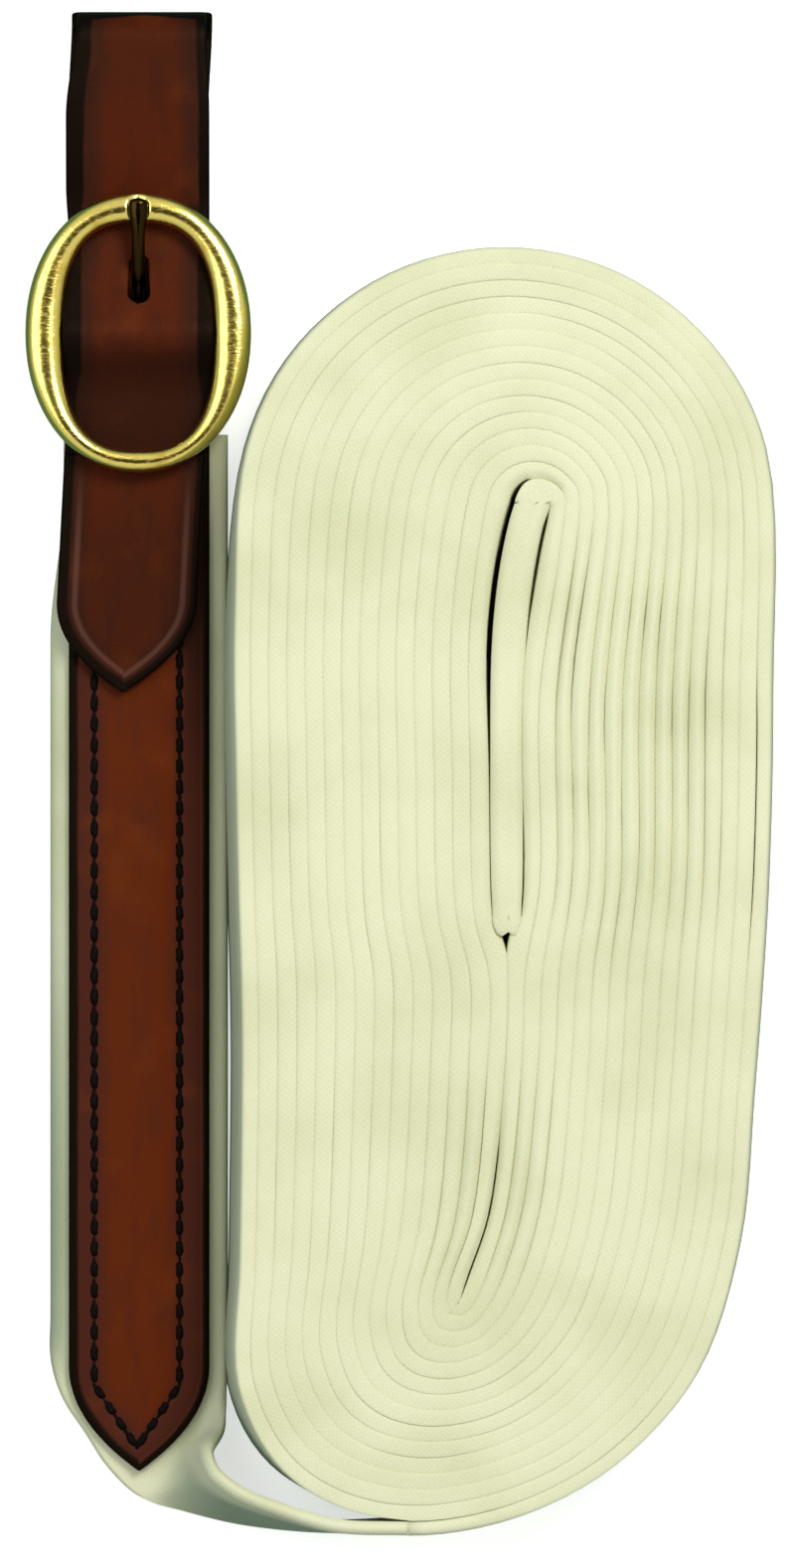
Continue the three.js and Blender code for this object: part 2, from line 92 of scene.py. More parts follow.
WEB_WIDTH = (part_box("web_roll")[1].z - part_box("web_roll")[0].z) / MM
BILLET_LOW, BILLET_HIGH = (corner.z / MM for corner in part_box("billet_end"))
STRAP_THICK = BILLET_HIGH - BILLET_LOW
TAB_THICK = 1.8
WEB_THICK = 2.5
BAR_Y, BAR_Z = ((joints["buckle_tilt"]["pos_m"][axis] - ORIGIN[axis]) / MM for axis in (1, 2))
FOLD_TOP_Y = (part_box("loop_strap")[1].y - ORIGIN.y) / MM

back_mid = STRAP_THICK / 2
web_mid = STRAP_THICK + GAP + WEB_THICK / 2
tab_top = BILLET_LOW - GAP
tab_mid = tab_top - TAB_THICK / 2
billet_mid = (BILLET_LOW + BILLET_HIGH) / 2
turn_back_mid = STRAP_THICK + GAP + TAB_THICK / 2
chape_arc = BAR_RADIUS + GAP + TAB_THICK / 2
crest_arc = chape_arc + TAB_THICK / 2 + GAP + STRAP_THICK / 2
fold_arc = (FOLD_INNER_GAP + STRAP_THICK) / 2
fold_y = FOLD_TOP_Y - fold_arc - STRAP_THICK / 2
loop_front_mid = back_mid + 2 * fold_arc
under_top_bar = STRAP_THICK + STRAP_LIFT + STRAP_THICK / 2
front_run_from_z = (tab_mid + under_top_bar) / 2


# ---------------------------------------------------------------- camera, light and floor
def make_camera():
    """Straight above the object, far enough away to see it almost without perspective."""
    view_height, distance = 0.2823, 4.0
    data = bpy.data.cameras.new("camera")
    data.sensor_width = 36
    data.lens = data.sensor_width * distance / view_height
    data.clip_end = 50
    camera = bpy.data.objects.new("camera", data)
    middle_height = WEB_WIDTH * MM / 2
    camera.location = (-0.00016, -0.002, distance + middle_height)
    bpy.context.scene.collection.objects.link(camera)
    bpy.context.scene.camera = camera


def make_light(name, place, size, power, colour):
    data = bpy.data.lights.new(name, "AREA")
    data.size = size
    data.energy = power
    data.color = colour
    light = bpy.data.objects.new(name, data)
    light.location = place
    light.rotation_euler = (-Vector(place)).to_track_quat("-Z", "Y").to_euler()
    light.visible_camera = False
    bpy.context.scene.collection.objects.link(light)


def make_world():
    """A pale studio: bright above, dull towards the horizon and where a camera would hang overhead."""
    world = bpy.data.worlds.new("studio")
    world.use_nodes = True
    tree = world.node_tree
    place = tree.nodes.new("ShaderNodeTexCoord")
    split = tree.nodes.new("ShaderNodeSeparateXYZ")
    ramp = tree.nodes.new("ShaderNodeValToRGB")
    steps = ramp.color_ramp.elements
    steps[0].position, steps[0].color = 0.05, (0.16, 0.29, 0.23, 1)
    steps[1].position, steps[1].color = 0.62, (1.0, 1.0, 0.97, 1)
    for position, colour in ((0.945, (1.0, 1.0, 0.97, 1)), (0.982, (0.07, 0.06, 0.03, 1))):
        steps.new(position).color = colour
    tree.links.new(place.outputs["Generated"], split.inputs[0])
    tree.links.new(split.outputs["Z"], ramp.inputs["Fac"])
    tree.links.new(ramp.outputs["Color"], tree.nodes["Background"].inputs["Color"])
    tree.nodes["Background"].inputs["Strength"].default_value = 0.72
    bpy.context.scene.world = world
    bpy.context.scene.view_settings.view_transform = "Standard"


# ---------------------------------------------------------------- curves
def catmull(points, share, closed=False):
    """The point at share (0 to 1) of a centripetal Catmull-Rom curve, as the CAD draws it."""
    points = np.asarray(points, float)
    count = len(points)
    place = (count - (0 if closed else 1)) * share
    start = math.floor(place)
    weight = place - start
    if not closed and start >= count - 1:
        start, weight = count - 2, 1.0

    def pick(i):
        if closed:
            return points[i % count]
        if i < 0:
            return 2 * points[0] - points[1]
        if i >= count:
            return 2 * points[-1] - points[-2]
        return points[i]

    p0, p1, p2, p3 = (pick(start + k) for k in (-1, 0, 1, 2))
    d0, d1, d2 = (max(np.linalg.norm(b - a), 1e-4) ** 0.5 for a, b in ((p0, p1), (p1, p2), (p2, p3)))
    t1 = ((p1 - p0) / d0 - (p2 - p0) / (d0 + d1) + (p2 - p1) / d1) * d1
    t2 = ((p2 - p1) / d1 - (p3 - p1) / (d1 + d2) + (p3 - p2) / d2) * d1
    curve = (p1, t1, -3 * p1 + 3 * p2 - 2 * t1 - t2, 2 * p1 - 2 * p2 + t1 + t2)
    return sum(c * weight**k for k, c in enumerate(curve))


def smooth(points, count):
    return [catmull(points, i / count) for i in range(count + 1)]


def arc(u, v, radius, start, end, count):
    turns = np.radians(np.linspace(start, end, count))
    return [np.array((u + radius * math.cos(a), v + radius * math.sin(a))) for a in turns]


def resample(points, step):
    """The same line with points at an even spacing of about step."""
    points = np.asarray(points, float)
    lengths = np.r_[0, np.cumsum(np.linalg.norm(np.diff(points, axis=0), axis=1))]
    places = np.linspace(0, lengths[-1], max(2, round(lengths[-1] / step) + 1))
    return np.stack([np.interp(places, lengths, column) for column in points.T], axis=1)


def tangents(path):
    ends = np.r_[path[:1], path, path[-1:]]
    along = ends[2:] - ends[:-2]
    return along / np.linalg.norm(along, axis=1, keepdims=True)


def wobble(*place):
    """Smooth unseeded noise from -1 to 1, the same on every run."""
    return noise.noise(Vector(place))


def ease(value, low, high):
    share = np.clip((value - low) / (high - low), 0, 1)
    return share * share * (3 - 2 * share)


# ---------------------------------------------------------------- meshes
def ring_mesh(name, rings, closed=False, origin=ORIGIN, **values):
    """A closed mesh through equal rings of points in drawing millimetres.

    Its UV map 'weave' runs in millimetres along the piece and round each ring.
    values are numbers for every point, each kept as an attribute that materials read.
    """
    rings = np.asarray(rings, float)
    rows, size, _ = rings.shape
    middle = rings.mean(axis=1)
    lengths = np.r_[0, np.cumsum(np.linalg.norm(np.diff(middle, axis=0), axis=1))]
    around = np.linalg.norm(np.roll(rings, -1, axis=1) - rings, axis=2).mean(axis=0)
    around = np.r_[0, np.cumsum(around)]
    faces, uvs = [], []
    spans = rows if closed else rows - 1
    for i in range(spans):
        here, there = i * size, (i + 1) % rows * size
        u0, u1 = lengths[i], lengths[i + 1] if i + 1 < rows else 2 * lengths[-1] - lengths[-2]
        for j in range(size):
            k = (j + 1) % size
            faces.append((here + j, here + k, there + k, there + j))
            v0, v1 = around[j], around[j + 1]
            uvs += [(u0, v0), (u0, v1), (u1, v1), (u1, v0)]
    if not closed:
        last = (rows - 1) * size
        faces.append(tuple(range(size - 1, -1, -1)))
        faces.append(tuple(range(last, last + size)))
        uvs += [(0, around[j]) for j in range(size - 1, -1, -1)]
        uvs += [(lengths[-1], around[j]) for j in range(size)]
    mesh = bpy.data.meshes.new(name)
    points = rings.reshape(-1, 3) * MM + np.array(origin)
    mesh.from_pydata(points.tolist(), [], faces)
    mesh.uv_layers.new(name="weave").data.foreach_set("uv", np.array(uvs, np.float32).ravel())
    for key, numbers in values.items():
        attribute = mesh.attributes.new(key, "FLOAT", "POINT")
        attribute.data.foreach_set("value", np.asarray(numbers, np.float32).ravel())
    mesh.shade_smooth()
    piece = bpy.data.objects.new(name, mesh)
    bpy.context.scene.collection.objects.link(piece)
    face_outward(mesh)
    return piece


def face_outward(mesh):
    """Flips a closed mesh whose faces look inward, which gives it a negative volume."""
    mesh.calc_loop_triangles()
    triangles = [[mesh.vertices[v].co for v in t.vertices] for t in mesh.loop_triangles]
    if sum(a.dot(b.cross(c)) for a, b, c in triangles) < 0:
        mesh.flip_normals()


def sharpen(piece, degrees):
    """Keeps edges steeper than this crisp while the rest shades smoothly."""
    piece.data.set_sharp_from_angle(angle=math.radians(degrees))


def combine(piece, other, how):
    """Applies a boolean with another mesh, which is then removed."""
    change = piece.modifiers.new(how, "BOOLEAN")
    change.operation = how
    change.object = other
    change.solver = "EXACT"
    ready = piece.evaluated_get(bpy.context.evaluated_depsgraph_get())
    mesh = bpy.data.meshes.new_from_object(ready)
    piece.modifiers.clear()
    old = piece.data
    piece.data = mesh
    mesh.name = piece.name
    bpy.data.meshes.remove(old)
    bpy.data.objects.remove(other)


def oval(half_across, half_up, sides):
    turns = np.arange(sides) * 2 * np.pi / sides
    return np.stack([half_across * np.cos(turns), half_up * np.sin(turns)], axis=1)


# ---------------------------------------------------------------- materials
def new_material(name):
    material = bpy.data.materials.new(name)
    material.use_nodes = True
    return material, material.node_tree, material.node_tree.nodes["Principled BSDF"]


def add(tree, kind, inputs=None, **settings):
    """Adds a node. Its inputs are values, or sockets to link."""
    node = tree.nodes.new("ShaderNode" + kind)
    for key, value in settings.items():
        setattr(node, key, value)
    for key, value in (inputs or {}).items():
        if isinstance(value, bpy.types.NodeSocket):
            tree.links.new(value, node.inputs[key])
        else:
            node.inputs[key].default_value = value
    return node


def maths(tree, operation, a, b=0.0, c=0.0):
    return add(tree, "Math", {0: a, 1: b, 2: c}, operation=operation).outputs[0]


def mixed(tree, share, first, second, blend="MIX"):
    node = add(tree, "Mix", {0: share, 6: first, 7: second}, data_type="RGBA", blend_type=blend)
    return node.outputs[2]


def spread(tree, value, low, high, to_low=0.0, to_high=1.0):
    inputs = {0: value, 1: low, 2: high, 3: to_low, 4: to_high}
    return add(tree, "MapRange", inputs, interpolation_type="SMOOTHSTEP").outputs[0]


def noise_at(tree, place, scale, detail=3.0, stretch=(1, 1, 1)):
    moved = add(tree, "Mapping", {"Vector": place, "Scale": stretch}).outputs[0]
    inputs = {"Vector": moved, "Scale": scale, "Detail": detail}
    return add(tree, "TexNoise", inputs).outputs["Fac"]


def rgb(text):
    """A linear colour from its sRGB hexadecimal form."""
    parts = [int(text[i:i + 2], 16) / 255 for i in (0, 2, 4)]
    return (*(p / 12.92 if p < 0.04045 else ((p + 0.055) / 1.055) ** 2.4 for p in parts), 1)


def cotton_material(name, light, shade, soiled):
    """Tight plain-woven cotton web: rows of floats from the UV map with painted shade in the hollows
    between them, fuzz and uneven bleaching.

    Where a piece's painted-shade attribute is above 0 it is darker and greener: painted shade on faces
    turned away from the light.
    """
    material, tree, shader = new_material(name)
    weave = add(tree, "UVMap", uv_map="weave").outputs[0]
    split = add(tree, "SeparateXYZ", {0: weave})
    along = maths(tree, "SINE", maths(tree, "MULTIPLY", split.outputs[0], math.pi / 0.5))
    across = maths(tree, "SINE", maths(tree, "MULTIPLY", split.outputs[1], math.pi / 0.55))
    yarn = maths(tree, "MULTIPLY_ADD", maths(tree, "MULTIPLY", along, across), 0.5, 0.5)
    place = add(tree, "TexCoord").outputs["Object"]
    fuzz = noise_at(tree, place, 2400)
    patches = noise_at(tree, place, 38, 4)
    # towards the shade colour: painted shade in the hollows between the floats, plus fuzz and uneven
    # bleaching
    hollow_shade_and_tone = maths(tree, "MULTIPLY_ADD", maths(tree, "SUBTRACT", 1.0, yarn), 0.18,
                 maths(tree, "MULTIPLY", fuzz, 0.35))
    hollow_shade_and_tone = maths(tree, "ADD", hollow_shade_and_tone, spread(tree, patches, 0.35, 0.75, -0.15, 0.3))
    colour = mixed(tree, hollow_shade_and_tone, light, shade)
    # painted shade: darker and greener where the piece's attribute marks faces in shade
    soil = add(tree, "Attribute", attribute_name="soil").outputs["Fac"]
    tree.links.new(mixed(tree, soil, colour, soiled), shader.inputs["Base Color"])
    height = maths(tree, "MULTIPLY_ADD", fuzz, 0.5, yarn)
    bump = add(tree, "Bump", {"Height": height, "Distance": 0.00008, "Strength": 0.35})
    tree.links.new(bump.outputs[0], shader.inputs["Normal"])
    tree.links.new(spread(tree, fuzz, 0.2, 0.8, 0.82, 1.0), shader.inputs["Roughness"])
    shader.inputs["Sheen Weight"].default_value = 0.18
    shader.inputs["Sheen Roughness"].default_value = 0.6
    shader.inputs["Specular IOR Level"].default_value = 0.25
    return material


def leather_material(name, centre, margin, rim, centre_from, rim_width):
    """Bridle leather: black burnished rim widened by painted shade, darker margins, a warmer centre,
    painted shade where its 'dark' attribute is set, pores and fine creases.
    """
    material, tree, shader = new_material(name)
    edge = add(tree, "Attribute", attribute_name="edge").outputs["Fac"]
    place = add(tree, "TexCoord").outputs["Object"]
    blotches = noise_at(tree, place, 90, 5)
    streaks = noise_at(tree, place, 320, 4, (1, 0.22, 1))
    ragged = maths(tree, "MULTIPLY_ADD", blotches, 1.4, maths(tree, "SUBTRACT", edge, 0.7))
    warm = spread(tree, ragged, centre_from - 1.6, centre_from + 2.2)
    skin = mixed(tree, warm, margin, centre)
    skin = mixed(tree, spread(tree, streaks, 0.42, 0.72, 0.0, 0.45), skin, margin)
    skin = mixed(tree, spread(tree, blotches, 0.52, 0.74, 0.0, 0.25), skin, rgb("74340f"))
    # the 'dark' attribute darkens towards near black: painted shade on the strap's front run and the
    # billet's painted shadow on the tab
    dark = add(tree, "Attribute", attribute_name="dark").outputs["Fac"]
    skin = mixed(tree, maths(tree, "MULTIPLY", dark, 0.8), skin, rgb("1c0a06"))
    # a lighter line along the crease, on the billet only
    polished = add(tree, "Attribute", attribute_name="polished").outputs["Fac"]
    line = maths(tree, "MULTIPLY", spread(tree, edge, 1.9, 2.6), spread(tree, edge, 2.8, 3.6, 0.4, 0.0))
    skin = mixed(tree, maths(tree, "MULTIPLY", line, polished), skin, rgb("6b4640"))
    rim_dye_and_shade = spread(tree, maths(tree, "MULTIPLY_ADD", streaks, 0.5, edge), rim_width, rim_width + 0.7)
    tree.links.new(mixed(tree, rim_dye_and_shade, rim, skin), shader.inputs["Base Color"])
    pores = add(tree, "TexVoronoi", {"Vector": place, "Scale": 1900}).outputs["Distance"]
    creases = noise_at(tree, place, 700, 6)
    height = maths(tree, "MULTIPLY_ADD", creases, 0.8, pores)
    bump = add(tree, "Bump", {"Height": height, "Distance": 0.00007, "Strength": 0.5})
    tree.links.new(bump.outputs[0], shader.inputs["Normal"])
    worn = maths(tree, "MULTIPLY_ADD", creases, 0.3, 0.36)
    tree.links.new(worn, shader.inputs["Roughness"])
    shader.inputs["Specular IOR Level"].default_value = 0.1
    shader.inputs["Specular Tint"].default_value = (1.0, 0.6, 0.4, 1)
    return material


def brass_material(name, shaded_shank=False):
    """Polished cast brass with handling marks and browner patches.

    With the shank option set, the piece is painted nearly black away from its tip, by its 'edge'
    attribute: painted shade and a dark reflection on the tongue's shank.
    """
    material, tree, shader = new_material(name)
    place = add(tree, "TexCoord").outputs["Object"]
    patches = noise_at(tree, place, 160, 4)
    marks = noise_at(tree, place, 900, 6, (1, 3.5, 1))
    colour = mixed(tree, spread(tree, patches, 0.5, 0.8, 0.0, 0.55), rgb("f6e078"), rgb("b98a22"))
    if shaded_shank:
        from_tip = add(tree, "Attribute", attribute_name="edge").outputs["Fac"]
        # painted shade and dark reflection: nearly black beyond a few millimetres from the tongue's tip
        shank_shade = spread(tree, maths(tree, "MULTIPLY_ADD", patches, 1.5, from_tip), 2.2, 5.0)
        colour = mixed(tree, shank_shade, colour, rgb("33260f"))
    tree.links.new(colour, shader.inputs["Base Color"])
    shader.inputs["Metallic"].default_value = 1.0
    rough = maths(tree, "ADD", spread(tree, marks, 0.45, 0.75, 0.10, 0.24),
                  spread(tree, patches, 0.4, 0.8, 0.0, 0.08))
    tree.links.new(rough, shader.inputs["Roughness"])
    height = maths(tree, "MULTIPLY_ADD", marks, 0.15, patches)
    bump = add(tree, "Bump", {"Height": height, "Distance": 0.0004, "Strength": 0.35})
    tree.links.new(bump.outputs[0], shader.inputs["Normal"])
    return material


def thread_material(name, light, dark):
    """Waxed thread, with the slant of its twist in the colour and bump."""
    material, tree, shader = new_material(name)
    place = add(tree, "TexCoord").outputs["Object"]
    inputs = {"Vector": place, "Scale": 900, "Distortion": 1.5, "Detail": 2}
    plies = add(tree, "TexWave", inputs, bands_direction="DIAGONAL").outputs["Fac"]
    fibres = noise_at(tree, place, 3500)
    tree.links.new(mixed(tree, plies, dark, light), shader.inputs["Base Color"])
    height = maths(tree, "MULTIPLY_ADD", fibres, 0.4, plies)
    bump = add(tree, "Bump", {"Height": height, "Distance": 0.0001, "Strength": 0.5})
    tree.links.new(bump.outputs[0], shader.inputs["Normal"])
    tree.links.new(spread(tree, fibres, 0.3, 0.7, 0.45, 0.7), shader.inputs["Roughness"])
    shader.inputs["Specular IOR Level"].default_value = 0.05
    return material


def floor_material():
    material, tree, shader = new_material("floor")
    place = add(tree, "TexCoord").outputs["Object"]
    cloud = noise_at(tree, place, 6, 2)
    colour = mixed(tree, cloud, (0.90, 0.91, 0.90, 1), (0.94, 0.94, 0.93, 1))
    tree.links.new(colour, shader.inputs["Base Color"])
    shader.inputs["Roughness"].default_value = 0.9
    shader.inputs["Emission Color"].default_value = (1, 1, 1, 1)
    shader.inputs["Emission Strength"].default_value = 0.6
    return material


# the last colour is the painted shade's teal-green
cotton = cotton_material("cotton_web", rgb("dcdcc0"), rgb("bdbd92"), rgb("55765f"))
tab_leather = leather_material("tab_leather", rgb("571f06"), rgb("431d15"), rgb("040201"), 5.6, 1.1)
strap_leather = leather_material("strap_leather", rgb("491908"), rgb("32150e"), rgb("040202"), 3.8, 1.35)
brass = brass_material("brass")
shank_shaded_brass = brass_material("shank_shaded_brass", shaded_shank=True)
dark_thread = thread_material("dark_thread", rgb("0f0807"), rgb("040202"))


def dress(piece, material, body=None):
    piece.data.materials.clear()
    piece.data.materials.append(material)
    if body:
        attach(piece, body)


# ---------------------------------------------------------------- the rolled web
# The outermost and the innermost turn, clockwise from the bottom, as the CAD draws them.
ROLL_OUTSIDE = [
    (2, -135.65), (-12.5, -132.6), (-22.8, -125.2), (-29.8, -111),
    (-29.6, -88), (-29.2, -52), (-29.3, -36), (-29.4, -24), (-29.8, 0), (-29.9, 28),
    *arc(19, 46, 48.3, 165, 15, 7),
    (66.9, 14), (66.1, -18), (65, -36), (63.2, -58), (60.6, -84.5),
    (52.9, -107.6), (38.5, -123.5), (21, -132.6),
]
ROLL_CORE = [
    (11.6, -94.6), (11.2, -94.3), (11.5, -93), (13.2, -89),
    (17.4, -79), (20.4, -52), (20.9, -37), (18.1, -26), (17.5, 0), (17.5, 26),
    *arc(24.8, 47.5, 3.8, 165, 15, 7),
    (23.5, 14), (23.5, -20), (20.7, -36), (20.1, -50), (17.2, -77),
    (14, -88), (12.8, -92), (12.1, -94.2),
]
TURNS = 14.5
FIRST_TURN = 0.5
SPIRAL_START = 0.66
# Middle line of the turned-back end's two plies. Its upper end is drawn a little higher than in the CAD,
# so that it fills the bend above it.
END_CENTRE = [(20, -26), (19.7, 3), (19.9, 24.6), (21.3, 37), (23.2, 44.5), (24.8, 48.7)]
OVER_TOP = (26.1, 48, 3.1)  # centre and radius of the bend above it
PLY_OFFSET = (WEB_THICK + GAP) / 2
PLY_STEPS = 60
SAMPLES_PER_TURN = 150
MOST_HALF = 2.25  # how far the web's face may reach from its middle to close on its neighbour


def roll_path():
    """Plan of the rolled web's middle line, the part of the roll and the turn each point is on."""
    middle = smooth(END_CENTRE, PLY_STEPS)
    parts = {
        "right": [p + (PLY_OFFSET, 0) for p in reversed(middle)],
        "fold": arc(*middle[0], PLY_OFFSET, -15, -165, 9),
        "left": [p - (PLY_OFFSET, 0) for p in middle[:-2]],
        "top": arc(*OVER_TOP, 165, 15, 14),
    }
    first = math.ceil(SPIRAL_START * SAMPLES_PER_TURN)
    turns = np.arange(first, (FIRST_TURN + TURNS) * SAMPLES_PER_TURN + 1) / SAMPLES_PER_TURN
    core = np.array([catmull(ROLL_CORE, turn % 1, True) for turn in turns])
    outside = np.array([catmull(ROLL_OUTSIDE, turn % 1, True) for turn in turns])
    share = ((turns - FIRST_TURN) / TURNS)[:, None]
    spiral = core * (1 - share) + outside * share
    bend_end = parts["top"][-1]
    parts["down"] = [bend_end + (spiral[0] - bend_end) * s for s in np.linspace(0, 1, 14)[1:-1]]
    parts["spiral"] = spiral
    names = np.repeat(list(parts), [len(points) for points in parts.values()])
    path = np.vstack(list(parts.values()))
    return path, names, np.r_[np.zeros(len(path) - len(turns)), turns]


def room_beside(path, normal):
    """Half the distance from each point of a plan line to the next layer, inward and outward."""
    start, run = path[:-1], np.diff(path, axis=0)
    rooms = []
    for way in (-normal, normal):
        ahead = start[None] - path[:, None]
        slant = way[:, None, 0] * run[None, :, 1] - way[:, None, 1] * run[None, :, 0]
        slant = np.where(np.abs(slant) < 1e-9, 1e-9, slant)
        far = (ahead[..., 0] * run[:, 1] - ahead[..., 1] * run[:, 0]) / slant
        share = (ahead[..., 0] * way[:, None, 1] - ahead[..., 1] * way[:, None, 0]) / slant
        met = (far > 1) & (share >= 0) & (share < 1)
        rooms.append(np.where(met, far, np.inf).min(axis=1) / 2)
    return rooms


def web_roll():
    """The spiral, wide enough to close on its neighbours, with the unevenness of a hand-wound roll."""
    path, part, turn = roll_path()
    x, y = path.T
    along = tangents(path)
    normal = np.stack([-along[:, 1], along[:, 0]], axis=1)
    plies, spiral = np.isin(part, ("right", "left", "fold")), part == "spiral"
    going_up = (turn > 1) & (turn < 1.62)  # the first turn's run beside the left ply and over the top
    going_down = (part == "down") | spiral & (turn < 0.95)

    # Waves in the layers to the right of the core.
    waves = ease(x, 24, 32) * (1 - ease(x, 50, 62)) * ease(y, -45, -5) * (1 - ease(y, 30, 48))
    rough = np.array([wobble(v * 0.055, k * 0.9, 7) for v, k in zip(y, turn)])
    ends = np.maximum(ease(y, 40, 75), 1 - ease(y, -112, -75))

    # How far apart each face is from the layer it looks at.
    pressed = waves * np.clip(rough - 0.15, 0, 0.22) - 0.09
    pressed += 0.6 * (turn > 14.05) * ease(x, 45, 55) * ease(y, -45, -15) * (1 - ease(y, 5, 30))
    left_slit = (0.25 + 0.95 * ease(y, -8, 28)) * (1 - ease(x, 23, 24.4)) * ease(y, -28, -24)
    right_slit = 0.05 + 0.95 * ease(y, 18, 36) * (1 - ease(y, 44, 49)) + 0.3 * (1 - ease(y, -14, -4))
    low_slit = 0.4 * (1 - ease(y, -70, -62)) * ease(y, -97, -90)
    inner_gap = np.select(
        [plies, going_up & (y > -30), going_down & (y > -30), turn < 1.5],
        [-0.6, left_slit, right_slit, low_slit], pressed)
    outer_gap = np.select(
        [part == "left", (part == "top") & (x < 24.4), part == "right"],
        [left_slit, left_slit, right_slit], pressed)
    inward, outward = room_beside(path, normal)
    unwinding = ease(turn, TURNS + FIRST_TURN - 0.06, TURNS + FIRST_TURN)
    halves = []
    for room, gap in ((inward, inner_gap), (outward, outer_gap)):
        half = np.clip(room - gap / 2, 0.9, np.where(y > 0, MOST_HALF + 0.8, MOST_HALF))
        half = np.where(room > 4, WEB_THICK / 2, half)
        halves.append(half + (WEB_THICK / 2 - half) * unwinding)
    inner, outer = halves
    inner[part == "top"] = OVER_TOP[2] - 0.1

    # How deeply the selvedges are rounded.
    packed = 0.34 - 0.2 * ends + 1.8 * waves * (0.6 + 0.5 * rough)
    packed += (1.0 - packed) * unwinding
    low_groove = 1.0 * (1 - ease(turn, 1.6, 4.6)) * (1 - ease(y, -62, -50)) * ease(y, -96, -86) * spiral
    beside_plies = 0.8 * ((going_up | going_down) & (y > -30) | (part == "left") | (part == "right"))
    inner_depth = np.where(plies | (part == "top"), 0.1, packed + low_groove + beside_plies)
    outer_depth = packed + low_groove * (turn > 1.5) + beside_plies * np.isin(part, ("left", "right"))
    soft = np.clip(waves + low_groove + beside_plies, 0, 1) * 0.85 * (1 - unwinding)

    # How far the foot stands inward of the crown: no floor shows through the slits, and the outermost
    # turns spread a little where they stand.
    spread_foot = (0.9 + 1.45 * (1 - ease(x, -26, -14)) * (1 - ease(y, 20, 60))) * ease(turn, 11, 14)
    lean = np.select(
        [part == "right", part == "top", going_up, going_down],
        [-1.7 * ease(y, 0, 20), 1.3, 1.5 * ease(y, -45, -33), 1.3 * ease(y, -45, -33)], 0.0)
    lean += 0.7 * spiral * (turn < 1.5) * (1 - ease(y, -58, -50))
    lean = (lean + waves * spiral - spread_foot) * (1 - unwinding)

    rings, soils = [], []
    for i, point in enumerate(path):
        layer = turn[i] * 1.7
        uneven = 0.28 * wobble(x[i] * 0.022, y[i] * 0.022, turn[i] * 0.35)
        uneven += 0.18 * wobble(x[i] * 0.05, y[i] * 0.05, layer + 20) - 0.45
        uneven += 0.35 * waves[i] * wobble(y[i] * 0.07, turn[i] * 1.9, 3)
        top = WEB_WIDTH + uneven * (1 - unwinding[i])
        section = edge_section(inner[i], outer[i], top, inner_depth[i], outer_depth[i], soft[i])
        across = section[:, 0] - lean[i] * (1 - section[:, 1] / WEB_WIDTH)
        rings.append(np.c_[point + np.outer(across, normal[i]), section[:, 1]])
        # painted shade on the outermost turn's outer wall, strongest at its foot and on the left, where
        # the wall is turned from the light
        on_wall = (section[:, 0] > outer[i] - 0.2) * (1 - 0.5 * section[:, 1] / WEB_WIDTH)
        exposed = ease(turn[i], 14, 14.1) * (1 - 0.6 * ease(x[i], -10, 10)) * (1 - unwinding[i])
        soils.append(0.5 * on_wall * exposed)
    roll = ring_mesh("cotton_web_roll", rings, soil=soils)
    dress(roll, cotton, "roll")
    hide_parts("web_roll")


def edge_section(inner, outer, top, inner_depth, outer_depth, soft):
    """The web on edge: flat faces and rounded selvedges, as (across, height).

    soft is how much of the rounding is a wide slope instead of a tight corner.
    """
    turns = np.radians([0, 30, 55, 75, 90, 105, 125, 150, 180])
    reach = np.cos(turns)
    across = np.where(reach > 0, outer, inner) * reach
    rounding = (1 - soft) * (1 - np.sin(turns)) + soft * np.abs(reach) ** 1.7
    drop = np.where(reach > 0, outer_depth, inner_depth) * rounding
    crown = np.stack([across, top - drop], axis=1)
    foot = np.stack([across[::-1], drop[::-1]], axis=1)
    return np.vstack([crown, foot])


# ---------------------------------------------------------------- the web's outer end
LEAD_LEFT = LEATHER_X - WEB_WIDTH / 2
LEAD_RIGHT = LEATHER_X + WEB_WIDTH / 2
WEB_END_Y = 61
# Left edge, right edge and cup of each station, as the CAD draws them.
LEAD_STATIONS = [
    ((LEAD_LEFT, -98, web_mid), (LEAD_RIGHT, -98, web_mid), 8),
    ((LEAD_LEFT, -106, web_mid), (LEAD_RIGHT, -107, web_mid), 8),
    ((-60.6, -112.5, web_mid), (-30.8, -112.7, 4.3), 16),
    ((-56.2, -119.4, web_mid), (-31.5, -118.3, 9.8), 20),
    ((-52.4, -125.2, web_mid), (-33.6, -122.4, 20), 9),
    ((-46.6, -130.6, 3), (-32.2, -125.8, 25.5), 2.5),
    ((-38.2, -132.8, 1), (-27.9, -129.2, 28.6), 1.6),
    ((-27, -135, 0.5), (-20.5, -132.2, 30.6), 1.2),
    ((-13, -136.2, 0.2), (-10.5, -135.1, 31.5), 1),
    ((1.98, -135.65, 0), (1.98, -135.65, WEB_WIDTH), 1),
]


